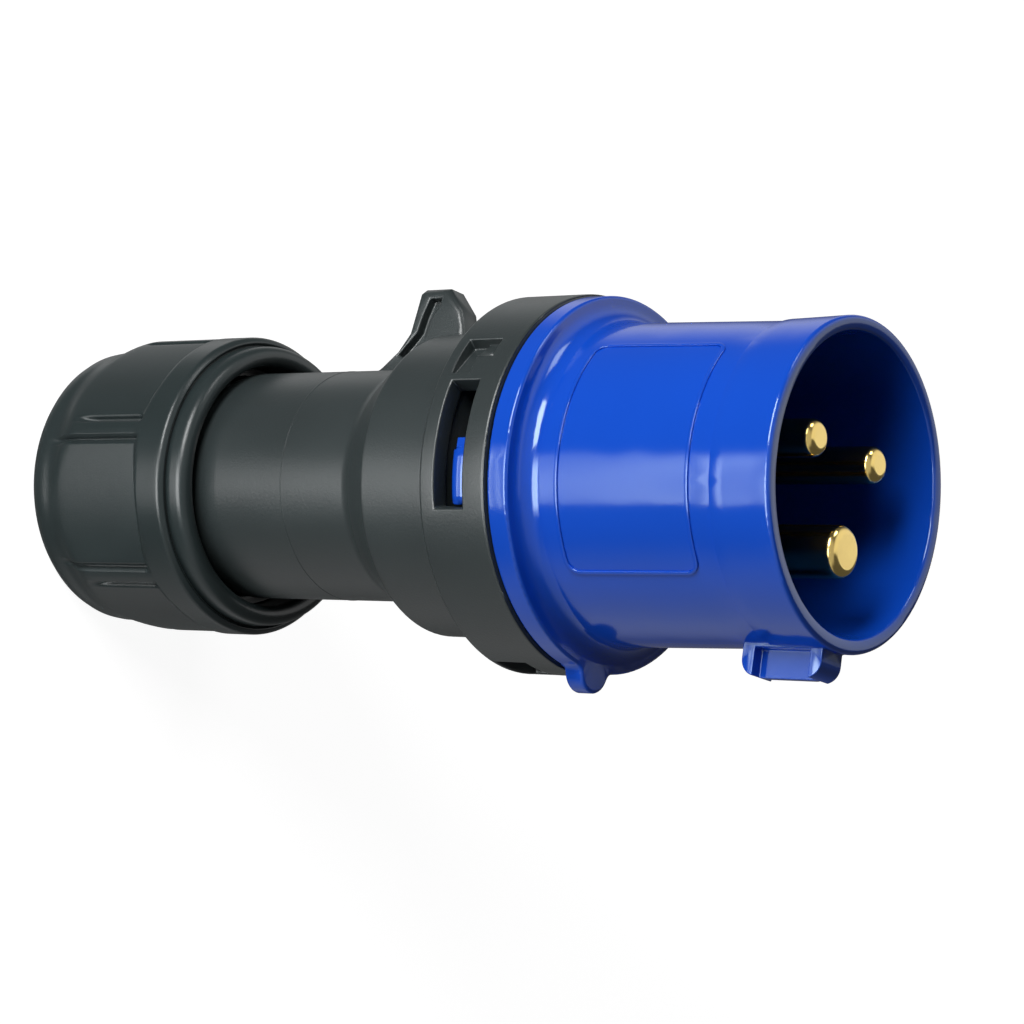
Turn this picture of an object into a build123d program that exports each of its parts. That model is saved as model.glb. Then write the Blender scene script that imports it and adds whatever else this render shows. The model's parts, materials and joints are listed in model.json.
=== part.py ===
from build123d import *
import os
from math import cos, radians, sin

# A 16 A cable plug with three round pins, standing on its union nut. Its axis is +Z, with the pins up,
# the shroud's key at -Y and the housing's nose at +Y. All sizes are in millimetres and degrees.

# Lengths along the axis, from the nut's rear face to the rim of the shroud
nut_length = 32.0
barrel_length = 26.6
shoulder_length = 6.4
body_length = 13.7
collar_length = 10.7
flange_gap = 0.5
flange_thickness = 2.9
shroud_reach = 37.2

# Shroud
band_length = 8.8
band_step = 0.25
band_draft = 0.25
root_step = 0.05
root_fillet = 2.6
shroud_wall = 2.1
floor_setback = 0.3
cavity_draft = 0.3
rim_rounding = 0.6
rim_lead_in = 0.4
flange_rise = 3.75
flange_rounding = 0.5
tab_radius = 3.2
tab_rise = 2.9
tab_fillet = 1.6

# Key of the shroud: two end walls on a web
key_width = 5.0
key_rise = 3.75
key_length = 11.9
key_setback = 1.0
key_wall = 1.8
key_web = 1.4
key_rounding = 2.2

# Skirt and bayonet lugs behind the flange
skirt_wall = 2.3
skirt_length = 5.7
lug_overlap = 1.4
lug_depth = 3.65
lug_length = 3.0
lug_start = 181.0
lug_angle = 17.8
lug_nose_angle = 3.4
lug_nose_drop = 0.5

# Pins and their terminals
pin_circle = 8.75
cavity_margin = 10.9
pin_radius = 2.5
earth_radius = 3.5
pin_depth = 1.8
earth_depth = 0.6
pin_rounding = 1.2
pin_collar_thickness = 3.0
pin_collar_step = 0.6
pin_seat_step = 0.3
terminal_radius = 3.8
earth_terminal_radius = 4.3
terminal_length = 17.0
terminal_rounding = 0.3
conductor_radius = 2.0
conductor_depth = 11.0
screw_setback = 4.2
screw_radius = 2.0
screw_reach = 6.0
screw_head_radius = 3.0
screw_head_height = 2.2
screw_slot_width = 0.8
screw_slot_depth = 1.0
plate_offset = 0.75
plate_thickness = 0.5
plate_width = 2.8
plate_length = 6.0

# Contact carrier and terminal block
ledge_height = 2.1
ledge_width = 3.45
carrier_thickness = 5.3
block_thickness = 2.9
block_margin = 0.7
tower_wall = 1.2
tower_overhang = 1.8
block_screw_radius = 1.5
block_screw_length = 7.0
block_screw_head_radius = 2.7
block_screw_head_height = 2.3

# Gasket behind the flange
gasket_overhang = 0.25
gasket_width = 1.7
gasket_thickness = 1.9
gasket_rounding = 0.3

# Housing
collar_lip = 0.35
collar_rise = 4.75
shoulder_rise = 4.7
barrel_wall = 3.2
body_wall = 2.2
shoulder_foot_fillet = 3.0
shoulder_edge_fillet = 1.0
collar_wall = 2.7
collar_floor = 2.2
collar_chamfer = 0.9
collar_rear_fillet = 0.5
collar_foot_fillet = 0.8

# Windows, notches and slot in the housing's collar
window_rear = 2.5
window_length = 4.6
window_start = 160.5
window_angle = 39.0
entry_margin = 0.6
notch_rear = 1.9
notch_length = 2.9
notch_start = 144.3
notch_angle = 13.4
notch_depth = 1.8
notch_shallow_depth = 0.7
ramp_length = 2.5
ramp_angle = 7.2
ramp_depth = 1.1
ramp_shallow_depth = 0.1
slot_rear = 0.9
slot_length = 4.9
slot_angle = 20.8

# Nose at the back of the housing
nose_rise = 11.9
nose_reach = 8.8
nose_width = 4.4
nose_web = 1.6
nose_chamfer = 0.8

# Threaded end and cable gland
thread_step = 0.7
thread_depth = 0.7
thread_setback = 2.5
stub_rounding = 0.5
mouth_wall = 1.0
mouth_length = 4.0
mouth_step = 1.2
seal_setback = 20.1
seal_wall = 4.3
seal_rounding = 0.8
inner_seal_wall = 3.0
lip_width = 3.3
lip_thickness = 2.0
clamp_step = 0.4
clamp_wall = 3.8
clamp_rounding = 0.5
clamp_ring_height = 4.8
finger_length = 6.8
finger_taper = 1.0
finger_count = 8
finger_gap = 1.6
slip_thickness = 2.0
slip_rounding = 0.3

# Union nut
nut_rise = 5.4
nut_floor = 4.0
nut_hole_step = 0.65
nut_mouth_gap = 1.1
nut_relief_overlap = 3.6
nut_flat_drop = 1.45
nut_band_length = 5.0
nut_corner_angle = 50.0
nut_heel_drop = 1.6
nut_heel_rounding = 4.0
nut_heel_height = 6.5
nut_heel_edge_rounding = 1.0
nut_waist_drop = 0.3
nut_waist_height = 9.8
nut_waist_rounding = 0.5
nut_edge_drop = 0.6
nut_edge_rounding = 0.5
bead_radius = 1.4
bead_height = 3.5
groove_width = 1.2
groove_depth = 0.6
groove_spacing = 3.0
groove_length = 10.2
groove_setback = 0.4

# Clearances
seat_clearance = 0.1
sliding_clearance = 0.05
moulding_clearance = 0.2
thread_clearance = 0.3
bayonet_clearance = 0.4
gland_clearance = 0.4

# Stations along the axis that follow from the lengths
shoulder_z = nut_length + barrel_length
body_z = shoulder_z + shoulder_length
collar_z = body_z + body_length
collar_front = collar_z + collar_length
flange_z = collar_front + flange_gap
flange_front = flange_z + flange_thickness
rim_z = flange_front + shroud_reach
floor_z = flange_front - floor_setback
key_front = rim_z - key_setback
slip_z = nut_floor + seat_clearance
clamp_z = slip_z + slip_thickness + seat_clearance
finger_z = clamp_z + clamp_ring_height
seal_z = finger_z + finger_length + seat_clearance
seal_length = nut_length - seal_setback
lip_z = seal_z + seal_length + seat_clearance
barrel_z = lip_z + lip_thickness
stub_z = seal_z - mouth_length
thread_end = nut_length - thread_setback
window_z = collar_z + window_rear
window_front = window_z + window_length
lug_z = window_front - seat_clearance - lug_length
skirt_z = flange_z - skirt_length
carrier_seat = floor_z - ledge_height
carrier_front = carrier_seat - seat_clearance
carrier_z = carrier_front - carrier_thickness
block_front = carrier_z - seat_clearance
block_z = block_front - block_thickness
terminal_z = carrier_z - terminal_length
tower_z = terminal_z - tower_overhang
screw_z = terminal_z + screw_setback

# Radii that follow from the circle of the pins, then the bores and what fits in them
rim_bore = pin_circle + cavity_margin
band_radius = rim_bore + shroud_wall
root_radius = band_radius + root_step
key_reach = band_radius + key_rise
flange_radius = band_radius + flange_rise
tab_reach = flange_radius + tab_rise
collar_radius = flange_radius + collar_lip
body_radius = collar_radius - collar_rise
barrel_radius = body_radius - shoulder_rise
nose_top = barrel_radius + nose_rise
thread_radius = barrel_radius - thread_step
stub_radius = thread_radius - thread_depth
mouth_radius = stub_radius - mouth_wall
seal_bore = mouth_radius - mouth_step
lip_radius = seal_bore - lip_width
inner_seal_radius = seal_bore - seal_wall
cable_radius = inner_seal_radius - inner_seal_wall
clamp_radius = seal_bore + clamp_step
clamp_bore = clamp_radius - clamp_wall
nut_radius = barrel_radius + nut_rise
nut_flat_distance = nut_radius - nut_flat_drop
nut_hole_radius = clamp_bore - nut_hole_step
body_bore = body_radius - body_wall
barrel_bore = barrel_radius - barrel_wall
collar_bore = collar_radius - collar_wall
skirt_radius = collar_bore - bayonet_clearance
skirt_bore = skirt_radius - skirt_wall
ledge_radius = skirt_bore - ledge_width
block_radius = body_bore - block_margin
gasket_inner_radius = collar_bore - gasket_overhang
gasket_outer_radius = gasket_inner_radius + gasket_width
lug_reach = collar_bore + lug_overlap
lug_root = lug_reach - lug_depth
nut_thread_bore = thread_radius + thread_clearance
nut_mouth_radius = barrel_radius + nut_mouth_gap
nut_pocket_radius = clamp_radius + gland_clearance
collar_outside = collar_radius + tab_radius

# Angle from +X, pin radius, depth of the tip below the rim and terminal radius of each contact
contacts = {
    "earth": (-90, earth_radius, earth_depth, earth_terminal_radius),
    "line": (150, pin_radius, pin_depth, terminal_radius),
    "neutral": (30, pin_radius, pin_depth, terminal_radius),
}


def section(*corners):
    """Draw a closed half section, each corner as its radius, height and rounding."""
    with BuildLine() as outline:
        FilletPolyline(
            [(radius, height) for radius, height, rounding in corners],
            radius=[rounding for radius, height, rounding in corners],
            close=True,
        )
    make_face(outline.edges())


def sector(inner, outer, start, size):
    """Draw the part of a ring that begins at one angle and spans another."""
    with BuildLine() as outline:
        far = CenterArc((0, 0), outer, start, size)
        near = CenterArc((0, 0), inner, start, size)
        Line(far @ 0, near @ 0)
        Line(far @ 1, near @ 1)
    make_face(outline.edges())


def polar(radius, angle):
    """Give the point at a distance and an angle from the plug's axis."""
    return (radius * cos(radians(angle)), radius * sin(radians(angle)))


def ramp(start, size, deep, shallow):
    """Draw a recess in the collar whose floor rises from one angle to the next."""
    with BuildLine() as outline:
        Polyline(
            polar(collar_outside, start),
            polar(collar_radius - deep, start),
            polar(collar_radius - shallow, start + size),
            polar(collar_outside, start + size),
            close=True,
        )
    make_face(outline.edges())


def pin_centre(angle):
    """Give the foot of a pin's axis, from its angle on the pin circle."""
    return polar(pin_circle, angle)


def outward(angle, distance):
    """Give the plane that faces outward from a terminal, at a distance from its axis."""
    reach = pin_circle + distance
    facing = (cos(radians(angle)), sin(radians(angle)), 0)
    return Plane((reach * facing[0], reach * facing[1], screw_z), x_dir=(0, 0, 1), z_dir=facing)


# Front shroud: tube, flange with its tab, key, skirt and two bayonet lugs in one moulding
with BuildPart() as front_shroud:
    with BuildSketch(Plane.XY.offset(flange_z)):
        Circle(flange_radius)
        with Locations(Location((0, tab_radius - tab_reach, 0), (0, 0, -90))):
            Circle(tab_radius)
    extrude(amount=flange_thickness)
    fillet(front_shroud.edges().filter_by(Axis.Z), tab_fillet)
    flange_edges = front_shroud.edges().group_by(Axis.Z)
    fillet(flange_edges[0] + flange_edges[-1], flange_rounding)
    with BuildSketch(Plane.XZ):
        section(
            (0, flange_front - flange_rounding, 0),
            (root_radius + root_fillet + seat_clearance, flange_front - flange_rounding, 0),
            (root_radius + root_fillet + seat_clearance, flange_front, 0),
            (root_radius, flange_front, root_fillet),
            (band_radius - band_draft - band_step, rim_z - band_length - band_step, 0),
            (band_radius - band_draft, rim_z - band_length, 0),
            (band_radius, rim_z, rim_rounding),
            (0, rim_z, 0),
        )
        section(
            (0, skirt_z, 0),
            (skirt_radius, skirt_z, flange_rounding),
            (skirt_radius, flange_z + flange_rounding, 0),
            (0, flange_z + flange_rounding, 0),
        )
    revolve(axis=Axis.Z)
    with BuildSketch(Plane.YZ):
        section(
            (-rim_bore - shroud_wall / 2, key_front, 0),
            (-key_reach, key_front, key_rounding),
            (-key_reach, key_front - key_length, key_rounding),
            (-rim_bore - shroud_wall / 2, key_front - key_length, 0),
        )
    extrude(amount=key_width / 2, both=True)
    for side in (-1, 1):
        with BuildSketch(Plane.YZ.offset(side * key_web / 2)):
            section(
                (-band_radius, key_front - key_wall, 0),
                (-key_reach - key_rounding, key_front - key_wall, 0),
                (-key_reach - key_rounding, key_front - key_length + key_wall, 0),
                (-band_radius, key_front - key_length + key_wall, 0),
            )
        extrude(amount=side * key_width, mode=Mode.SUBTRACT)
    for turn in (0, 180):
        with BuildSketch(Plane.XY.offset(lug_z)):
            sector(lug_root, lug_reach, lug_start + turn, lug_angle)
        extrude(amount=lug_length)
        with BuildSketch(Plane.XY.offset(lug_z + lug_nose_drop)):
            sector(lug_root, lug_reach - lug_nose_drop, lug_start - lug_nose_angle + turn, lug_nose_angle)
        extrude(amount=lug_length - lug_nose_drop)
    with BuildSketch(Plane.XZ):
        section(
            (0, floor_z, 0),
            (rim_bore - cavity_draft, floor_z, 0),
            (rim_bore, rim_z - rim_lead_in, 0),
            (rim_bore + rim_lead_in, rim_z, 0),
            (0, rim_z, 0),
        )
        section(
            (0, lug_z, 0),
            (skirt_bore, lug_z, 0),
            (skirt_bore, carrier_seat, 0),
            (ledge_radius, carrier_seat, 0),
            (ledge_radius, floor_z, 0),
            (0, floor_z, 0),
        )
        section(
            (gasket_inner_radius - sliding_clearance, flange_z, 0),
            (gasket_outer_radius + sliding_clearance, flange_z, 0),
            (gasket_outer_radius + sliding_clearance, collar_front + gasket_thickness, 0),
            (gasket_inner_radius - sliding_clearance, collar_front + gasket_thickness, 0),
        )
    revolve(axis=Axis.Z, mode=Mode.SUBTRACT)

# Gasket, pressed between the collar and the groove behind the flange
with BuildPart() as flange_gasket:
    with BuildSketch(Plane.XZ):
        section(
            (gasket_inner_radius, collar_front + sliding_clearance, gasket_rounding),
            (gasket_outer_radius, collar_front + sliding_clearance, gasket_rounding),
            (gasket_outer_radius, collar_front + gasket_thickness - sliding_clearance, 0),
            (gasket_inner_radius, collar_front + gasket_thickness - sliding_clearance, 0),
        )
    revolve(axis=Axis.Z)

# Contact carrier, seated behind the shroud's ledge
with BuildPart() as contact_carrier:
    with BuildSketch(Plane.XY.offset(carrier_z)):
        Circle(skirt_bore - moulding_clearance)
    extrude(amount=carrier_thickness)
    with BuildSketch(Plane.XY.offset(carrier_front)):
        Circle(ledge_radius - moulding_clearance)
    extrude(amount=floor_z - carrier_front)
    for angle, radius, depth, terminal in contacts.values():
        with BuildSketch(Plane.XY.offset(carrier_z)):
            with Locations(pin_centre(angle)):
                Circle(radius + pin_seat_step + sliding_clearance)
        extrude(amount=floor_z - carrier_z, mode=Mode.SUBTRACT)
        with BuildSketch(Plane.XY.offset(carrier_z)):
            with Locations(pin_centre(angle)):
                Circle(terminal + pin_collar_step + sliding_clearance)
        extrude(amount=pin_collar_thickness + seat_clearance, mode=Mode.SUBTRACT)
    with BuildSketch(Plane.XY.offset(carrier_z)):
        Circle(block_screw_radius + sliding_clearance)
    extrude(amount=block_z + block_screw_length + seat_clearance - carrier_z, mode=Mode.SUBTRACT)

# Terminal block, a plate with a tower round each terminal
with BuildPart() as terminal_block:
    with BuildSketch(Plane.XY.offset(block_z)):
        Circle(block_radius)
    extrude(amount=block_thickness)
    with BuildSketch(Plane.XY.offset(tower_z)):
        for angle, radius, depth, terminal in contacts.values():
            with Locations(pin_centre(angle)):
                Circle(terminal + moulding_clearance + tower_wall)
    extrude(amount=block_z - tower_z)
    with BuildSketch(Plane.XY.offset(tower_z)):
        for angle, radius, depth, terminal in contacts.values():
            with Locations(pin_centre(angle)):
                Circle(terminal + moulding_clearance)
        Circle(block_screw_radius + moulding_clearance)
    extrude(amount=block_front - tower_z, mode=Mode.SUBTRACT)
    for angle, radius, depth, terminal in contacts.values():
        with BuildSketch(outward(angle, 0)):
            Circle(screw_radius + moulding_clearance)
        extrude(amount=screw_reach, mode=Mode.SUBTRACT)

# Screw that holds the terminal block to the carrier
with BuildPart() as block_screw:
    with BuildSketch(Plane.XY.offset(block_z - block_screw_head_height)):
        Circle(block_screw_head_radius)
    extrude(amount=block_screw_head_height)
    fillet(block_screw.edges().sort_by(Axis.Z)[0], block_screw_head_height / 3)
    with BuildSketch(Plane.XY.offset(block_z)):
        Circle(block_screw_radius)
    extrude(amount=block_screw_length)
    with BuildSketch(Plane.XY.offset(block_z - block_screw_head_height)):
        Rectangle(3 * block_screw_head_radius / 2, screw_slot_width)
        Rectangle(screw_slot_width, 3 * block_screw_head_radius / 2)
    extrude(amount=screw_slot_depth, mode=Mode.SUBTRACT)


def contact_pin(angle, radius, depth, terminal):
    """Turn one contact, with its tip, its collar and its bored terminal."""
    centre = pin_centre(angle)
    collar = terminal + pin_collar_step
    tip_z = rim_z - depth
    with BuildPart() as pin:
        with BuildSketch(Plane((*centre, 0), x_dir=(1, 0, 0), z_dir=(0, -1, 0))):
            section(
                (0, terminal_z, 0),
                (terminal, terminal_z, terminal_rounding),
                (terminal, carrier_z, 0),
                (collar, carrier_z, 0),
                (collar, carrier_z + pin_collar_thickness, 0),
                (radius + pin_seat_step, carrier_z + pin_collar_thickness, 0),
                (radius + pin_seat_step, floor_z, 0),
                (radius, floor_z, 0),
                (radius, tip_z, pin_rounding),
                (0, tip_z, 0),
            )
        revolve(axis=Axis((*centre, 0), (0, 0, 1)))
        with BuildSketch(Plane.XY.offset(terminal_z)):
            with Locations(centre):
                Circle(conductor_radius)
        extrude(amount=conductor_depth, mode=Mode.SUBTRACT)
        with BuildSketch(outward(angle, 0)):
            Circle(screw_radius + sliding_clearance)
        extrude(amount=2 * terminal, mode=Mode.SUBTRACT)
    return pin.part


def terminal_screw(angle):
    """Turn one slotted terminal screw, with its tip on the pressure plate."""
    tip = plate_offset + plate_thickness + sliding_clearance
    with BuildPart() as screw:
        with BuildSketch(outward(angle, tip)):
            Circle(screw_radius)
        extrude(amount=screw_reach - tip)
        with BuildSketch(outward(angle, screw_reach)):
            Circle(screw_head_radius)
        extrude(amount=screw_head_height)
        with BuildSketch(outward(angle, screw_reach + screw_head_height)):
            Rectangle(3 * screw_head_radius, screw_slot_width)
        extrude(amount=-screw_slot_depth, mode=Mode.SUBTRACT)
    return screw.part


def pressure_plate(angle):
    """Cut the small plate that lies between a terminal screw and the conductor."""
    with BuildPart() as plate:
        with BuildSketch(outward(angle, plate_offset)):
            Rectangle(plate_length, plate_width)
        extrude(amount=plate_thickness)
    return plate.part


# Housing: threaded end, barrel, shoulder, body, collar and nose in one moulding
nose_outline = [
    (0, -1),
    (0.23, -0.65),
    (0.45, -0.45),
    (0.74, -0.38),
    (1, -0.32),
    (1, 0.21),
    (0.72, 0.53),
    (0.54, 0.6),
    (0.39, 0.66),
    (-0.13, 0.66),
    (-0.13, -1),
]
pocket_outline = [
    (0.18, -0.64),
    (0.39, -0.39),
    (0.47, -0.3),
    (0.66, -0.24),
    (0.87, -0.14),
    (0.87, 0.09),
    (0.8, 0.09),
    (0.66, -0.05),
    (0.36, -0.15),
    (0.16, -0.55),
]


def nose_side(corners):
    """Draw a side view of the nose, its corners as shares of its rise over the barrel and of its reach."""
    with BuildLine() as outline:
        Polyline(
            *[(barrel_radius + rise * nose_rise, shoulder_z + along * nose_reach) for rise, along in corners],
            close=True,
        )
    make_face(outline.edges())


with BuildPart() as housing:
    with BuildSketch(Plane.YZ):
        nose_side(nose_outline)
    extrude(amount=nose_width / 2, both=True)
    nose_sides = housing.edges().filter_by(lambda edge: abs(edge.center().X) > nose_width / 4)
    nose_upper = nose_sides.filter_by(lambda edge: edge.center().Y > body_radius)
    chamfer(nose_upper.filter_by(lambda edge: edge.center().Z > shoulder_z - nose_reach / 4), nose_chamfer)
    for side in (-1, 1):
        with BuildSketch(Plane.YZ.offset(side * nose_web / 2)):
            nose_side(pocket_outline)
        extrude(amount=side * nose_width, mode=Mode.SUBTRACT)
    with BuildSketch(Plane.XZ):
        section(
            (0, stub_z, 0),
            (stub_radius, stub_z, stub_rounding),
            (stub_radius, thread_end - barrel_radius + stub_radius, 0),
            (barrel_radius, thread_end, 0),
            (barrel_radius, shoulder_z, shoulder_foot_fillet),
            (body_radius, body_z, shoulder_edge_fillet),
            (body_radius, collar_z, collar_foot_fillet),
            (collar_radius, collar_z, collar_rear_fillet),
            (collar_radius, collar_front - collar_chamfer, 0),
            (collar_radius - collar_chamfer, collar_front, 0),
            (0, collar_front, 0),
        )
    revolve(axis=Axis.Z)
    with BuildSketch(Plane.XZ):
        section(
            (0, stub_z, 0),
            (mouth_radius, stub_z, 0),
            (seal_bore, stub_z + mouth_length, 0),
            (seal_bore, lip_z, 0),
            (lip_radius, lip_z, 0),
            (lip_radius, barrel_z, 0),
            (barrel_bore, barrel_z, 0),
            (barrel_bore, shoulder_z, 0),
            (body_bore, body_z + shoulder_edge_fillet, 0),
            (body_bore, collar_z + collar_floor, 0),
            (collar_bore, collar_z + collar_floor, 0),
            (collar_bore, collar_front, 0),
            (0, collar_front, 0),
        )
    revolve(axis=Axis.Z, mode=Mode.SUBTRACT)
    for turn in (0, 180):
        with BuildSketch(Plane.XY.offset(window_z)):
            sector(collar_bore - seat_clearance, collar_outside, window_start + turn, window_angle)
        extrude(amount=window_length, mode=Mode.SUBTRACT)
        with BuildSketch(Plane.XY.offset(window_z)):
            sector(
                collar_bore - seat_clearance,
                lug_reach + moulding_clearance,
                window_start + turn,
                lug_angle + lug_nose_angle + 2 * entry_margin,
            )
        extrude(amount=collar_front - window_z, mode=Mode.SUBTRACT)
        with BuildSketch(Plane.XY.offset(collar_z + notch_rear)):
            ramp(notch_start + turn, notch_angle, notch_depth, notch_shallow_depth)
        extrude(amount=notch_length, mode=Mode.SUBTRACT)
        with BuildSketch(Plane.XY.offset(collar_z + notch_rear + notch_length)):
            ramp(notch_start + turn, ramp_angle, ramp_depth, ramp_shallow_depth)
        extrude(amount=ramp_length, mode=Mode.SUBTRACT)
    with BuildSketch(Plane.XY.offset(collar_z + slot_rear)):
        sector(collar_bore - seat_clearance, collar_outside, 270 - slot_angle / 2, slot_angle)
    extrude(amount=slot_length, mode=Mode.SUBTRACT)

# Rubber seal of the gland, with a ring inside it that comes out for thicker cable
with BuildPart() as outer_seal:
    with BuildSketch(Plane.XZ):
        section(
            (inner_seal_radius + seat_clearance, seal_z, 0),
            (seal_bore - moulding_clearance, seal_z, seal_rounding),
            (seal_bore - moulding_clearance, seal_z + seal_length, seal_rounding),
            (inner_seal_radius + seat_clearance, seal_z + seal_length, 0),
        )
    revolve(axis=Axis.Z)
with BuildPart() as inner_seal:
    with BuildSketch(Plane.XZ):
        section(
            (cable_radius, seal_z, seal_rounding),
            (inner_seal_radius, seal_z, 0),
            (inner_seal_radius, seal_z + seal_length, 0),
            (cable_radius, seal_z + seal_length, seal_rounding),
        )
    revolve(axis=Axis.Z)

# Clamp insert, a ring with tapered fingers that close on the cable
with BuildPart() as clamp_insert:
    with BuildSketch(Plane.XZ):
        section(
            (clamp_bore, clamp_z, 0),
            (clamp_radius, clamp_z, clamp_rounding),
            (clamp_radius, finger_z, 0),
            (clamp_radius - finger_taper, finger_z + finger_length, clamp_rounding),
            (clamp_bore, finger_z + finger_length, clamp_rounding),
        )
    revolve(axis=Axis.Z)
    with BuildSketch(Plane.XY.offset(finger_z)):
        with PolarLocations(clamp_radius, finger_count):
            Rectangle(clamp_radius, finger_gap)
    extrude(amount=finger_length, mode=Mode.SUBTRACT)

# Slip ring between the nut and the clamp insert
with BuildPart() as slip_ring:
    with BuildSketch(Plane.XZ):
        section(
            (clamp_bore, slip_z, slip_rounding),
            (clamp_radius, slip_z, slip_rounding),
            (clamp_radius, slip_z + slip_thickness, slip_rounding),
            (clamp_bore, slip_z + slip_thickness, slip_rounding),
        )
    revolve(axis=Axis.Z)

# Union nut: six flats between grooved corners, and a bead round its mouth
nut_face_z = nut_length - bead_height
nut_flat_length = nut_face_z - nut_band_length
nut_waist_radius = nut_radius - nut_waist_drop
bead_outer_radius = nut_mouth_radius + 2 * bead_radius + seat_clearance
with BuildPart() as union_nut:
    with BuildSketch(Plane.XZ):
        section(
            (0, 0, 0),
            (nut_radius - nut_heel_drop, 0, nut_heel_rounding),
            (nut_radius - nut_heel_drop, nut_heel_height, nut_heel_edge_rounding),
            (nut_waist_radius, nut_heel_height + 1.5 * (nut_heel_drop - nut_waist_drop), nut_waist_rounding),
            (nut_waist_radius, nut_waist_height, 0),
            (nut_radius, nut_waist_height + nut_waist_drop, 0),
            (nut_radius, nut_face_z, nut_edge_rounding),
            (nut_radius - nut_edge_drop, nut_face_z + nut_edge_drop, 0),
            (bead_outer_radius, nut_face_z, 0),
            (0, nut_face_z, 0),
        )
    revolve(axis=Axis.Z)
    with BuildSketch():
        Circle(2 * nut_radius)
        RegularPolygon(
            nut_flat_distance, 6, major_radius=False, rotation=nut_corner_angle, mode=Mode.SUBTRACT
        )
    extrude(amount=nut_flat_length, mode=Mode.SUBTRACT)
    with PolarLocations(nut_radius, 6, nut_corner_angle):
        with GridLocations(1, groove_spacing, 1, 2):
            with Locations((0, 0, nut_flat_length - groove_setback - groove_length / 2)):
                Box(2 * groove_depth, groove_width, groove_length, mode=Mode.SUBTRACT)
    with BuildSketch(Plane.XZ):
        section(
            (0, nut_face_z - bead_radius, 0),
            (bead_outer_radius, nut_face_z - bead_radius, 0),
            (bead_outer_radius, nut_length, bead_radius),
            (nut_mouth_radius, nut_length, bead_radius),
            (nut_mouth_radius, nut_face_z, 0),
            (0, nut_face_z, 0),
        )
    revolve(axis=Axis.Z)
    with BuildSketch(Plane.XZ):
        section(
            (0, 0, 0),
            (nut_hole_radius, 0, 0),
            (nut_hole_radius, nut_floor, 0),
            (nut_pocket_radius, nut_floor, 0),
            (nut_pocket_radius, stub_z - lip_thickness, 0),
            (nut_thread_bore, stub_z - lip_thickness, 0),
            (nut_thread_bore, thread_end - nut_relief_overlap, 0),
            (nut_mouth_radius, thread_end - nut_relief_overlap, 0),
            (nut_mouth_radius, nut_face_z, 0),
            (0, nut_face_z, 0),
        )
    revolve(axis=Axis.Z, mode=Mode.SUBTRACT)

pieces = {
    "front_shroud": front_shroud.part,
    "flange_gasket": flange_gasket.part,
    "contact_carrier": contact_carrier.part,
    "terminal_block": terminal_block.part,
    "block_screw": block_screw.part,
    "housing": housing.part,
    "outer_seal": outer_seal.part,
    "inner_seal": inner_seal.part,
    "clamp_insert": clamp_insert.part,
    "slip_ring": slip_ring.part,
    "union_nut": union_nut.part,
}
for name, (angle, radius, depth, terminal) in contacts.items():
    pieces[name + "_pin"] = contact_pin(angle, radius, depth, terminal)
    pieces[name + "_screw"] = terminal_screw(angle)
    pieces[name + "_plate"] = pressure_plate(angle)

os.makedirs("parts", exist_ok=True)
for name, piece in pieces.items():
    piece.label = name
    export_step(piece, "parts/" + name + ".step")
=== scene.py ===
"""Looks of an industrial pin and sleeve plug: blue shroud, black housing and union nut, brass pins."""
import json
from math import atan2, cos, exp, hypot, log, pi, radians, sin

import bmesh
import bpy
from mathutils import Matrix, Vector


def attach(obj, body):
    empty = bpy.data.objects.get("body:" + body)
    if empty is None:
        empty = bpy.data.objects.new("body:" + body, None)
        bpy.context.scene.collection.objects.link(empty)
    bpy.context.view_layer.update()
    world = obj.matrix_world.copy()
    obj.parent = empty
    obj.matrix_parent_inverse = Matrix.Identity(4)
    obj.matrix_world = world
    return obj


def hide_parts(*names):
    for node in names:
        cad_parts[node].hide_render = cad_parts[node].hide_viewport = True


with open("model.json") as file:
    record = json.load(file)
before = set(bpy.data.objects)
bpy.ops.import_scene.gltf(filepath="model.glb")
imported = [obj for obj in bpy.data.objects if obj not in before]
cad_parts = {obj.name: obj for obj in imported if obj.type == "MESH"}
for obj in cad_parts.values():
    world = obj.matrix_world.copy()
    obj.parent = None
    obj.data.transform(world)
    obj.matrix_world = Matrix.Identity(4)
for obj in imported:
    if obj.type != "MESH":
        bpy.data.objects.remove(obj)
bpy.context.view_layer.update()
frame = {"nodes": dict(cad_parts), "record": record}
nodes = frame["nodes"]
scene = bpy.context.scene
mm = 0.001

# The camera stands beside the plug's front, turned so that the plug lies across the picture.
lens_mm = 111.87
sensor_mm = 36.0
camera_turn = radians(36.76)
camera_tip = radians(0.2)
plug_roll = radians(12.5)
rim_height = 130.0 * mm
rim_centre = Vector((44.28, 3.44, -405.92)) * mm


def camera_view():
    """Give the plug's place as the camera sees it: right, up and towards the camera."""
    along = Vector((cos(camera_turn) * cos(camera_tip),
                    -sin(camera_tip),
                    sin(camera_turn) * cos(camera_tip)))
    up = Vector((0, 1, 0))
    up = (up - along * along.dot(up)).normalized()
    facing = up.cross(along)
    if facing.z < 0:
        facing.negate()
    x_axis = -(facing * cos(plug_roll) + up * sin(plug_roll))
    y_axis = along.cross(x_axis)
    view = Matrix((x_axis, y_axis, along)).transposed().to_4x4()
    view.translation = rim_centre - along * rim_height
    return view


camera_data = bpy.data.cameras.new("camera")
camera_data.lens = lens_mm
camera_data.sensor_width = sensor_mm
camera_data.sensor_fit = "HORIZONTAL"
camera_data.clip_start = 10 * mm
camera = bpy.data.objects.new("camera", camera_data)
camera.matrix_world = camera_view().inverted()
scene.collection.objects.link(camera)
scene.camera = camera
scene.view_settings.view_transform = "Standard"

# The picture's own directions (right, up, towards the camera) and the middle of the plug
picture = camera.matrix_world.to_3x3()
middle = Vector((0, 0, 65)) * mm


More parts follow.
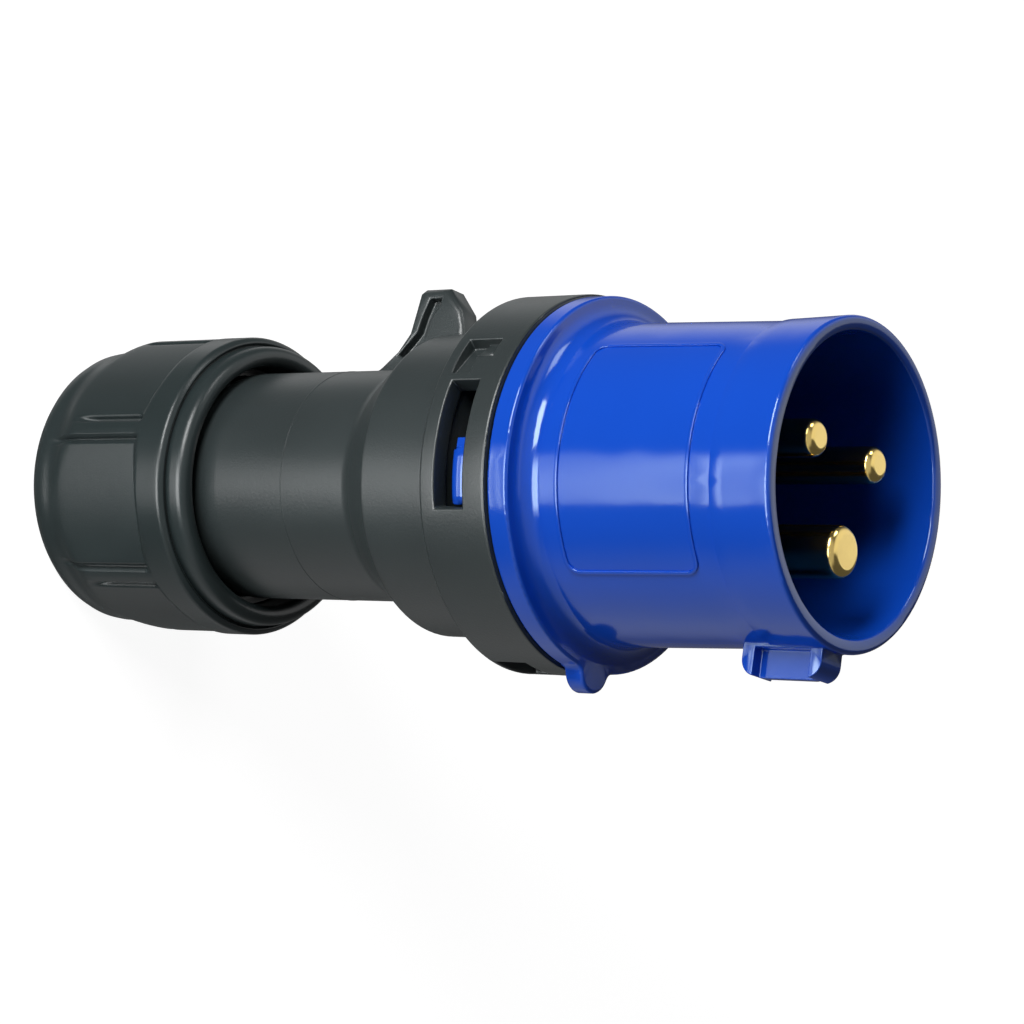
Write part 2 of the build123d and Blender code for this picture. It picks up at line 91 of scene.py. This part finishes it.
def lamp(name, right, up, back, size, watts):
    """Hang a white area lamp, placed from the plug's middle by the picture's directions in metres."""
    data = bpy.data.lights.new(name, "AREA")
    data.shape = "RECTANGLE"
    data.size, data.size_y = size
    data.energy = watts
    hung = bpy.data.objects.new(name, data)
    away = picture @ Vector((right, up, back))
    hung.location = middle + away
    hung.rotation_euler = away.to_track_quat("Z", "Y").to_euler()
    scene.collection.objects.link(hung)
    return hung


lamp("key_lamp", -0.16, 0.34, 0.40, (0.28, 0.24), 3.6)
lamp("mouth_lamp", 0.27, 0.43, 0.16, (0.16, 0.16), 0.5)
low_lamp = lamp("low_lamp", -0.34, -0.34, 0.26, (0.30, 0.30), 0.7)
low_lamp.visible_glossy = False  # it only lifts the shade, no finish mirrors it


# How bright each thing round the plug is; those after the table are seen by mirrored light alone
tent_level = 0.02
rear_half_level = 6.8
front_half_level = 1.4
bright_panel_level = 5.6
table_level = 0.5
back_wall_level = 0.6
front_wall_level = 0.5
near_box_level = 13.0
mirrored_level = 0.10


def studio_world():
    """Surround the plug with a photo tent: white to the camera, softboxes at its left, a pale table below.

    A place in the tent is said by how far it lies right, up and back to the camera, from -1 to 1.
    """
    world = bpy.data.worlds.new("studio")
    world.use_nodes = True
    tree = world.node_tree
    place = tree.nodes.new("ShaderNodeTexCoord")
    path = tree.nodes.new("ShaderNodeLightPath")

    def joined(operation, *values):
        """Multiply, add or compare numbers and sockets, one after the other."""
        whole = values[0]
        for value in values[1:]:
            node = tree.nodes.new("ShaderNodeMath")
            node.operation = operation
            for number, part in enumerate((whole, value)):
                if isinstance(part, (int, float)):
                    node.inputs[number].default_value = part
                else:
                    tree.links.new(part, node.inputs[number])
            whole = node.outputs[0]
        return whole

    def towards(axis):
        """Say how far a direction points along an axis."""
        node = tree.nodes.new("ShaderNodeVectorMath")
        node.operation = "DOT_PRODUCT"
        tree.links.new(place.outputs["Generated"], node.inputs[0])
        node.inputs[1].default_value = axis
        return node.outputs["Value"]

    def fade(value, low, high):
        """Rise smoothly from 0 at low to 1 at high, which may be the lesser number."""
        node = tree.nodes.new("ShaderNodeMapRange")
        node.interpolation_type = "SMOOTHSTEP"
        tree.links.new(value, node.inputs["Value"])
        node.inputs["From Min"].default_value = low
        node.inputs["From Max"].default_value = high
        return node.outputs["Result"]

    right, up, back = (towards(picture.col[axis]) for axis in range(3))
    left_side = joined("MULTIPLY", fade(up, -0.20, -0.18), fade(right, -0.68, -0.80))
    rear_half = joined("MULTIPLY", fade(back, 0.17, 0.215), fade(back, 0.29, 0.26), fade(up, 0.34, 0.20),
                       rear_half_level)
    bright_panel = joined("MULTIPLY", fade(back, 0.336, 0.345), fade(back, 0.374, 0.361), bright_panel_level)
    front_half = joined("MULTIPLY", fade(back, 0.25, 0.30), fade(up, 0.37, 0.26),
                        joined("ADD", bright_panel, front_half_level))
    softbox = joined("MULTIPLY", left_side, joined("ADD", rear_half, front_half))
    table = joined("MULTIPLY", fade(up, -0.50, -0.80), table_level, fade(right, 0.3, -0.1))
    lit = joined("ADD", softbox, table, tent_level)

    far_wall = joined("MULTIPLY", fade(right, 0.55, 0.85), fade(up, -0.070, -0.040))
    back_wall = joined("MULTIPLY", fade(back, -0.55, -0.85), fade(up, 0.2, 0.5), back_wall_level)
    front_wall = joined("MULTIPLY", fade(back, 0.55, 0.85), front_wall_level)
    near_box = joined("MULTIPLY", fade(right, -0.35, -0.50), fade(back, 0.45, 0.58), fade(up, -0.35, -0.20),
                      fade(up, 0.36, 0.14), near_box_level)
    mirrored = joined("ADD", far_wall, back_wall, front_wall, near_box, mirrored_level)
    level = joined("ADD", lit, joined("MULTIPLY", mirrored, path.outputs["Is Glossy Ray"]))
    level = joined("MAXIMUM", level, path.outputs["Is Camera Ray"])
    tree.links.new(level, tree.nodes["Background"].inputs["Strength"])
    tree.nodes["Background"].inputs["Color"].default_value = (1, 1, 1, 1)
    return world


scene.world = studio_world()


# Node groups shared by the finishes

skin_outputs = [("Colour", "NodeSocketColor"), ("Roughness", "NodeSocketFloat"),
                ("Normal", "NodeSocketVector")]
bump_distance = 0.1 * mm


def skin_group(name, inputs):
    """Start a shader group with a skin's outputs and number inputs (name, value) or colour inputs."""
    group = bpy.data.node_groups.new(name, "ShaderNodeTree")
    for label, value in inputs:
        kind = "NodeSocketColor" if isinstance(value, tuple) else "NodeSocketFloat"
        socket = group.interface.new_socket(label, in_out="INPUT", socket_type=kind)
        socket.default_value = (*value, 1) if isinstance(value, tuple) else value
    for label, kind in skin_outputs:
        group.interface.new_socket(label, in_out="OUTPUT", socket_type=kind)
    source = group.nodes.new("NodeGroupInput")
    result = group.nodes.new("NodeGroupOutput")
    return group, source, result


def noise_node(tree, scale, detail, roughness=0.5, squeezed=None):
    """Add a noise texture in object coordinates, which may be squeezed along each axis."""
    place = tree.nodes.new("ShaderNodeTexCoord").outputs["Object"]
    if squeezed:
        squeeze = tree.nodes.new("ShaderNodeMapping")
        squeeze.inputs["Scale"].default_value = squeezed
        tree.links.new(place, squeeze.inputs["Vector"])
        place = squeeze.outputs["Vector"]
    noise = tree.nodes.new("ShaderNodeTexNoise")
    noise.inputs["Scale"].default_value = scale
    noise.inputs["Detail"].default_value = detail
    noise.inputs["Roughness"].default_value = roughness
    tree.links.new(place, noise.inputs["Vector"])
    return noise.outputs["Fac"]


def multiply_add(tree, value, factor, extra):
    """Multiply a value and add to it; factor and extra are numbers or sockets."""
    node = tree.nodes.new("ShaderNodeMath")
    node.operation = "MULTIPLY_ADD"
    for number, part in enumerate((value, factor, extra)):
        if isinstance(part, (int, float)):
            node.inputs[number].default_value = part
        else:
            tree.links.new(part, node.inputs[number])
    return node.outputs[0]


def spread(tree, value, low, high):
    """Map a value from 0..1 to a range given by two numbers or sockets."""
    node = tree.nodes.new("ShaderNodeMapRange")
    tree.links.new(value, node.inputs["Value"])
    for label, end in (("To Min", low), ("To Max", high)):
        if isinstance(end, (int, float)):
            node.inputs[label].default_value = end
        else:
            tree.links.new(end, node.inputs[label])
    return node.outputs["Result"]


def roughen(group, source, result, flow, height, depth):
    """Give a skin its uneven gloss from one noise and its bump from another."""
    gloss = spread(group, flow, source.outputs["Gloss Low"], source.outputs["Gloss High"])
    group.links.new(gloss, result.inputs["Roughness"])
    bump = group.nodes.new("ShaderNodeBump")
    bump.inputs["Distance"].default_value = bump_distance
    group.links.new(source.outputs[depth], bump.inputs["Strength"])
    group.links.new(height, bump.inputs["Height"])
    group.links.new(bump.outputs["Normal"], result.inputs["Normal"])


def moulded_group():
    """Skin of a moulded plastic: fine spark-eroded grain, soft flow mottle and slightly uneven gloss."""
    group, source, result = skin_group("moulded_skin", [
        ("Colour", (0.05, 0.05, 0.05)), ("Mottle", 0.1), ("Gloss Low", 0.35), ("Gloss High", 0.5),
        ("Grain Depth", 0.02)])
    flow = noise_node(group, 60.0, 3.0)
    grain = noise_node(group, 3200.0, 2.0, 0.6)
    ripple = noise_node(group, 220.0, 1.0)
    centred = multiply_add(group, flow, 1.0, -0.5)
    shade = multiply_add(group, centred, source.outputs["Mottle"], 1.0)
    tinted = group.nodes.new("ShaderNodeVectorMath")
    tinted.operation = "SCALE"
    group.links.new(source.outputs["Colour"], tinted.inputs[0])
    group.links.new(shade, tinted.inputs["Scale"])
    group.links.new(tinted.outputs["Vector"], result.inputs["Colour"])
    roughen(group, source, result, flow, multiply_add(group, ripple, 0.6, grain), "Grain Depth")
    return group


def turned_group():
    """Skin of a turned metal part: rings left by the tool round its axis, with slight tarnish."""
    group, source, result = skin_group("turned_skin", [
        ("Colour", (0.8, 0.6, 0.3)), ("Tarnish", (0.3, 0.2, 0.1)), ("Gloss Low", 0.1), ("Gloss High", 0.3),
        ("Mark Depth", 0.05)])
    patch = noise_node(group, 180.0, 4.0, 0.6)
    rings = noise_node(group, 1.0, 1.0, squeezed=(60, 60, 4000))
    dulled = group.nodes.new("ShaderNodeMix")
    dulled.data_type = "RGBA"
    group.links.new(spread(group, patch, 0.0, 0.35), dulled.inputs["Factor"])
    group.links.new(source.outputs["Colour"], dulled.inputs["A"])
    group.links.new(source.outputs["Tarnish"], dulled.inputs["B"])
    group.links.new(dulled.outputs["Result"], result.inputs["Colour"])
    roughen(group, source, result, patch, rings, "Mark Depth")
    return group


moulded_skin = moulded_group()
turned_skin = turned_group()


def finish(name, skin, values, metallic=0.0, **settings):
    """Make a material from one skin group, its values, and plain settings of the shader."""
    made = bpy.data.materials.new(name)
    made.use_nodes = True
    tree = made.node_tree
    shader = tree.nodes["Principled BSDF"]
    shader.inputs["Metallic"].default_value = metallic
    for label, value in settings.items():
        shader.inputs[label.replace("_", " ")].default_value = value
    cover = tree.nodes.new("ShaderNodeGroup")
    cover.node_tree = skin
    for label, value in values.items():
        cover.inputs[label].default_value = (*value, 1) if isinstance(value, tuple) else value
    tree.links.new(cover.outputs["Colour"], shader.inputs["Base Color"])
    tree.links.new(cover.outputs["Roughness"], shader.inputs["Roughness"])
    tree.links.new(cover.outputs["Normal"], shader.inputs["Normal"])
    return made


def plastic(name, colour, mottle, gloss, grain, **settings):
    """Make a moulded plastic or rubber; gloss is its lowest and highest roughness."""
    values = {"Colour": colour, "Mottle": mottle, "Gloss Low": gloss[0], "Gloss High": gloss[1],
              "Grain Depth": grain}
    return finish(name, moulded_skin, values, **settings)


def metal(name, colour, tarnish, gloss):
    """Make a turned metal; gloss is its lowest and highest roughness."""
    values = {"Colour": colour, "Tarnish": tarnish, "Gloss Low": gloss[0], "Gloss High": gloss[1],
              "Mark Depth": 0.1}
    return finish(name, turned_skin, values, metallic=1.0)


finishes = {
    "blue_plastic": plastic("blue_plastic", (0.004, 0.058, 0.45), 0.12, (0.09, 0.15), 0.03,
                            Specular_Tint=(0.8, 1, 1, 1)),
    "black_plastic": plastic("black_plastic", (0.024, 0.031, 0.032), 0.35, (0.30, 0.40), 0.25),
    # the nut's black is the housing's black painted a little darker: painted shade that dims its flats
    "shaded_nut_plastic": plastic("shaded_nut_plastic", (0.019, 0.027, 0.028), 0.35, (0.25, 0.34), 0.15,
                           Specular_IOR_Level=0.35),
    "carrier_plastic": plastic("carrier_plastic", (0.008, 0.008, 0.010), 0.2, (0.3, 0.45), 0.1),
    "clamp_plastic": plastic("clamp_plastic", (0.35, 0.36, 0.37), 0.15, (0.35, 0.5), 0.1),
    "seal_rubber": plastic("seal_rubber", (0.018, 0.018, 0.019), 0.3, (0.6, 0.8), 0.3),
    "pin_brass": metal("pin_brass", (0.80, 0.60, 0.21), (0.42, 0.27, 0.07), (0.10, 0.24)),
    "screw_steel": metal("screw_steel", (0.62, 0.62, 0.60), (0.40, 0.38, 0.33), (0.2, 0.4)),
}
slots = {part["node"]: part["material_slot"] for part in frame["record"]["subparts"]}


def dress(piece, slot):
    """Give a piece the finish of one slot of the record."""
    piece.data.materials.clear()
    piece.data.materials.append(finishes[slot])


for node, slot in slots.items():
    dress(nodes[node], slot)


# Pieces

def settle(shape, name, slot, body, replaced=()):
    """Turn a bmesh into a smooth piece that rides on a body and stands for the nodes it replaces."""
    mesh = bpy.data.meshes.new(name)
    shape.to_mesh(mesh)
    shape.free()
    mesh.shade_smooth()
    piece = bpy.data.objects.new(name, mesh)
    scene.collection.objects.link(piece)
    dress(piece, slot)
    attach(piece, body)
    if replaced:
        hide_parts(*replaced)
    return piece


def even_shading(piece):
    """Keep broad faces flat and let only the narrow edges turn the light."""
    weighted = piece.modifiers.new("even_shading", "WEIGHTED_NORMAL")
    weighted.weight = 100
    weighted.keep_sharp = False


def merged(node):
    """Copy a moulded node and join its faces into one skin."""
    shape = bmesh.new()
    shape.from_mesh(nodes[node].data)
    bmesh.ops.remove_doubles(shape, verts=shape.verts, dist=2e-6)
    return shape


def soften(shape, edges, width, segments=2):
    """Round some edges of a moulding by a width in millimetres."""
    bmesh.ops.bevel(shape, geom=edges, offset=width * mm, offset_type="OFFSET", affect="EDGES",
                    segments=segments, profile=0.5, material=-1, clamp_overlap=False)


def sharp_edges(shape, low=0.0, angle=1.2):
    """Find the edges above a height in millimetres where a moulding turns sharply."""
    return [edge for edge in shape.edges if edge.is_manifold and edge.calc_face_angle(0) > angle
            and min(point.co.z for point in edge.verts) > low * mm]


def ring_place(point):
    """Give the radius and height of a point, in millimetres."""
    return hypot(point.co.x, point.co.y) / mm, point.co.z / mm


def bring(point, radius, height):
    """Move a point of a moulding to another radius and height, in millimetres."""
    share = radius * mm / hypot(point.co.x, point.co.y)
    point.co = Vector((point.co.x * share, point.co.y * share, height * mm))


# Housing: the collar's front edge is nearly square and stands close behind the flange
collar_front = 89.4
collar_mouth = 24.82
collar_skin = 25.7
collar_rounding = 0.9
collar_front_reach = 0.6
collar_edge_rise = 0.7
housing_edge = 0.25
shape = merged("housing")
for point in shape.verts:
    radius, height = ring_place(point)
    if abs(height - collar_front) < 0.06 and radius > collar_mouth:
        bring(point, radius + collar_front_reach, collar_front)
    elif abs(height - collar_front + collar_rounding) < 0.1 and radius > collar_skin:
        bring(point, radius, height + collar_edge_rise)
rounded = set(sharp_edges(shape)) | set(sharp_edges(shape, collar_front - 0.4, 0.7))
soften(shape, [edge for edge in shape.edges if edge in rounded], housing_edge)
even_shading(settle(shape, "housing_moulding", "black_plastic", "body", ["housing"]))

# Shroud: the flange's rear edge stands a little further back, the lugs are crowned from front to back,
# and every other edge has a small rounding
flange_rear = 90.15
flange_rear_shift = 0.35
lug_ends = (82.7, 85.7)
lug_crown = 1.2
shroud_edge = 0.15
shape = merged("front_shroud")
for point in shape.verts:
    radius, height = ring_place(point)
    if 24.9 < radius < 25.56 and abs(height - flange_rear) < 0.3:
        bring(point, radius, height - flange_rear_shift)


def on_lug_end(point):
    """Say whether a point lies on the outer edge of a lug's front or rear end."""
    radius, height = ring_place(point)
    return 24.4 < radius < 24.7 and min(abs(height - end) for end in lug_ends) < 0.02


crowned = [edge for edge in sharp_edges(shape)
           if abs(edge.verts[0].co.z - edge.verts[1].co.z) < 0.01 * mm and all(map(on_lug_end, edge.verts))]
soften(shape, crowned, lug_crown, 5)
soften(shape, sharp_edges(shape), shroud_edge)
even_shading(settle(shape, "shroud_moulding", "blue_plastic", "front", ["front_shroud"]))


def cut_edges(shape, pitch):
    """Cut each edge of a flat outline into lengths near the pitch."""
    for edge in list(shape.edges):
        cuts = int(edge.calc_length() / pitch)
        if cuts > 1:
            bmesh.ops.subdivide_edges(shape, edges=[edge], cuts=cuts - 1)


def turned(corners, steps, pitch=0.0):
    """Spin a closed outline of (radius, height, rounding) in millimetres, its edges cut to the pitch."""
    shape = bmesh.new()
    points = [shape.verts.new((radius * mm, 0, height * mm)) for radius, height, rounding in corners]
    for point, after in zip(points, points[1:] + points[:1]):
        shape.edges.new((point, after))
    for point, (radius, height, rounding) in zip(points, corners):
        if rounding:
            bmesh.ops.bevel(shape, geom=[point], offset=rounding * mm, offset_type="OFFSET",
                            affect="VERTICES", segments=6, profile=0.5, material=-1)
    if pitch:
        cut_edges(shape, pitch * mm)
    bmesh.ops.spin(shape, geom=shape.verts[:] + shape.edges[:], cent=(0, 0, 0), axis=(0, 0, 1),
                   dvec=(0, 0, 0), angle=2 * pi, steps=steps, use_merge=True)
    bmesh.ops.remove_doubles(shape, verts=shape.verts, dist=1e-7)
    bmesh.ops.recalc_face_normals(shape, faces=shape.faces)
    return shape


# Union nut, in millimetres: a rounded heel, six flats between grooved corners and a bead round the mouth
nut_steps = 360
nut_outline_pitch = 0.45
nut_flat = 20.35
nut_flat_end = 23.5
nut_flat_rise = 2.2
nut_flat_blend = 0.2
flat_crown = 0.6
nut_corner = 50.0
step_gathering = 0.1
carved_zone = (3.0, 24.6)
carved_inside = 19.9
heel_blend = (3.0, 7.0)
groove_aside = 1.5
groove_half_width = 0.5
groove_depth = 0.9
groove_starts = (4.5, 9.0)
groove_run_in = 5.0
groove_end = (22.8, 23.2)
nut_outline = [
    (8.75, 0, 0.4), (20.2, 0, 4.0), (20.2, 6.2, 1.2), (21.5, 8.7, 1.1), (21.8, 10.6, 0.8),
    (21.8, 28.4, 0.35), (21.0, 29.1, 0.3), (20.45, 28.55, 0.25), (20.35, 31.95, 1.4), (17.5, 31.95, 1.3),
    (17.5, 25.9, 0.3), (16.0, 25.9, 0.3), (16.0, 11.9, 0.1), (13.6, 11.9, 0.2), (13.6, 4.0, 0.3),
    (8.75, 4.0, 0.4)]


def smooth_ramp(value, low, high):
    """Rise smoothly from 0 at low to 1 at high."""
    share = min(max((value - low) / (high - low), 0.0), 1.0)
    return share * share * (3 - 2 * share)


def soft_least(first, second, blend):
    """Give the lesser of two lengths, with a rounded change from one to the other."""
    return -blend * log(exp(-first / blend) + exp(-second / blend))


def shape_nut():
    """Carve the flats and the paired grooves of the corners into a turned blank."""
    shape = turned(nut_outline, nut_steps, nut_outline_pitch)
    corner = radians(nut_corner)
    for point in shape.verts:
        radius, height = ring_place(point)
        turn = atan2(point.co.y, point.co.x) - corner
        gathered = turn - step_gathering * sin(6 * turn)  # brings the steps of the spin closer to the corners
        point.co.x = radius * mm * cos(gathered + corner)
        point.co.y = radius * mm * sin(gathered + corner)
        if radius < carved_inside or not carved_zone[0] < height < carved_zone[1]:
            continue
        angle = (gathered * 180 / pi) % 60.0
        from_flat = radians(angle - 30.0)
        from_corner = radians(min(angle, 60.0 - angle))
        rise = smooth_ramp(height, nut_flat_end - 0.35, nut_flat_end + 0.55)
        limit = nut_flat / cos(from_flat) ** flat_crown + nut_flat_rise * rise
        cut_back = soft_least(radius, limit, nut_flat_blend) - radius
        carved = radius + cut_back * smooth_ramp(height, *heel_blend)
        across = abs(from_corner * radius - groove_aside) / groove_half_width
        if across < 1:
            start = groove_starts[int(gathered // radians(60)) % 2]
            run = smooth_ramp(height, start, start + groove_run_in) * (1 - smooth_ramp(height, *groove_end))
            carved -= groove_depth * (1 - across ** 4) * run
        point.co.x *= carved / radius
        point.co.y *= carved / radius
    return shape


nut = settle(shape_nut(), "nut_moulding", "black_plastic", "nut", ["union_nut"])
nut.data.materials[0] = finishes["shaded_nut_plastic"]  # the same black, a little glossier, its colour painted darker as painted shade on the nut

# Shroud: the outline of the moulded panel on its side, in millimetres and degrees
panel_low = 97.7
panel_high = 118.0
panel_half_angle = 44.5
panel_radius = 21.5
panel_corner = 2.0
outline_width = 0.5
outline_thickness = 0.36
outline_sunk = 0.11
outline_edge = 0.09
outline_pitch = 0.4
tube_foot = (92.8, 21.8)
tube_end = (120.95, 21.25)


def tube_radius(height):
    """Give the radius of the tapered tube at a height."""
    share = (height - tube_foot[0]) / (tube_end[0] - tube_foot[0])
    return tube_foot[1] - (tube_foot[1] - tube_end[1]) * share


def shape_panel_outline():
    """Bend a flat rounded frame round the tube."""
    shape = bmesh.new()
    reach = radians(panel_half_angle) * panel_radius
    corners = [(-reach, panel_low), (reach, panel_low), (reach, panel_high), (-reach, panel_high)]
    face = shape.faces.new([shape.verts.new((across, height, 0)) for across, height in corners])
    bmesh.ops.bevel(shape, geom=face.verts[:], offset=panel_corner, offset_type="OFFSET", affect="VERTICES",
                    segments=8, profile=0.5, material=-1)
    cut_edges(shape, outline_pitch)
    bmesh.ops.inset_region(shape, faces=shape.faces[:], thickness=outline_width, use_boundary=True,
                           use_even_offset=True)
    inner = max(shape.faces, key=lambda face: len(face.verts))
    bmesh.ops.delete(shape, geom=[inner], context="FACES")
    raised = bmesh.ops.extrude_face_region(shape, geom=shape.faces[:])
    top = [item for item in raised["geom"] if isinstance(item, bmesh.types.BMVert)]
    bmesh.ops.translate(shape, verts=top, vec=(0, 0, outline_thickness))
    bmesh.ops.recalc_face_normals(shape, faces=shape.faces)
    rims = [edge for edge in shape.edges
            if edge.calc_face_angle(0) > 0.8 and all(point.co.z > outline_sunk for point in edge.verts)]
    bmesh.ops.bevel(shape, geom=rims, offset=outline_edge, offset_type="OFFSET", affect="EDGES", segments=2,
                    profile=0.5, material=-1)
    for point in shape.verts:
        across, height, rise = point.co
        radius = tube_radius(height) - outline_sunk + rise
        turn = pi + across / panel_radius
        point.co = Vector((radius * cos(turn), radius * sin(turn), height)) * mm
    bmesh.ops.recalc_face_normals(shape, faces=shape.faces)
    return shape


settle(shape_panel_outline(), "panel_outline", "blue_plastic", "front")

# Housing: the parting line round its barrel and the thread of its end
settle(turned([(16.2, 46.55, 0), (16.42, 46.6, 0.03), (16.44, 46.8, 0.03), (16.2, 46.85, 0)], 240),
       "parting_line", "black_plastic", "body")

thread_pitch = 2.0
thread_turns = 6
thread_start = 14.9
thread_steps = 72
thread_root = 14.9
thread_crest = 15.65
thread_run_out = 0.25
ridge = [(14.8, -0.75), (thread_crest, -0.22), (thread_crest, 0.22), (14.8, 0.75)]


def shape_thread():
    """Wind a ridge up the threaded end; both its ends run out into the root."""
    shape = bmesh.new()
    points = [shape.verts.new((radius * mm, 0, (thread_start + height) * mm)) for radius, height in ridge]
    face = shape.faces.new(points)
    steps = thread_steps * thread_turns
    bmesh.ops.spin(shape, geom=[face], cent=(0, 0, 0), axis=(0, 0, 1),
                   dvec=(0, 0, thread_turns * thread_pitch * mm / steps), angle=thread_turns * 2 * pi,
                   steps=steps, use_merge=False)
    bmesh.ops.recalc_face_normals(shape, faces=shape.faces)
    for point in shape.verts:
        radius, height = ring_place(point)
        part_turn = atan2(point.co.y, point.co.x) % (2 * pi) / (2 * pi)
        turns = round((height - thread_start) / thread_pitch - part_turn) + part_turn
        run_in = smooth_ramp(turns, 0.0, thread_run_out)
        sunk = 1 - run_in * (1 - smooth_ramp(turns, thread_turns - thread_run_out, thread_turns))
        if radius > 15.2:
            kept = radius + (thread_root - radius) * sunk
            point.co.x *= kept / radius
            point.co.y *= kept / radius
    return shape


settle(shape_thread(), "housing_thread", "black_plastic", "body")

# Floor: white to the camera and a little greyer under the plug, so that its shadow lies on it
floor_half = 4.0
floor_grey = 0.35
floor_near = (0.1, 0.93)
floor_far = (0.6, 1.0)


def floor_finish():
    """Make the floor's finish, with a glow for the camera that grows with the distance from the middle."""
    made = bpy.data.materials.new("floor")
    made.use_nodes = True
    tree = made.node_tree
    shader = tree.nodes["Principled BSDF"]
    shader.inputs["Base Color"].default_value = (floor_grey, floor_grey, floor_grey, 1)
    shader.inputs["Roughness"].default_value = 1.0
    shader.inputs["Specular IOR Level"].default_value = 0.0
    shader.inputs["Emission Color"].default_value = (1, 1, 1, 1)
    place = tree.nodes.new("ShaderNodeTexCoord")
    distance = tree.nodes.new("ShaderNodeVectorMath")
    distance.operation = "LENGTH"
    tree.links.new(place.outputs["Object"], distance.inputs[0])
    glow = spread(tree, distance.outputs["Value"], floor_near[1], floor_far[1])
    glow.node.inputs["From Min"].default_value = floor_near[0]
    glow.node.inputs["From Max"].default_value = floor_far[0]
    path = tree.nodes.new("ShaderNodeLightPath")
    tree.links.new(multiply_add(tree, glow, path.outputs["Is Camera Ray"], 0.0),
                   shader.inputs["Emission Strength"])
    return made


floor_mesh = bpy.data.meshes.new("floor")
shape = bmesh.new()
bmesh.ops.create_grid(shape, x_segments=1, y_segments=1, size=floor_half)
shape.to_mesh(floor_mesh)
shape.free()
floor_mesh.materials.append(floor_finish())
floor = bpy.data.objects.new("floor", floor_mesh)
scene.collection.objects.link(floor)
for seen_by in ("diffuse", "glossy", "transmission", "volume_scatter", "shadow"):
    setattr(floor, "visible_" + seen_by, False)
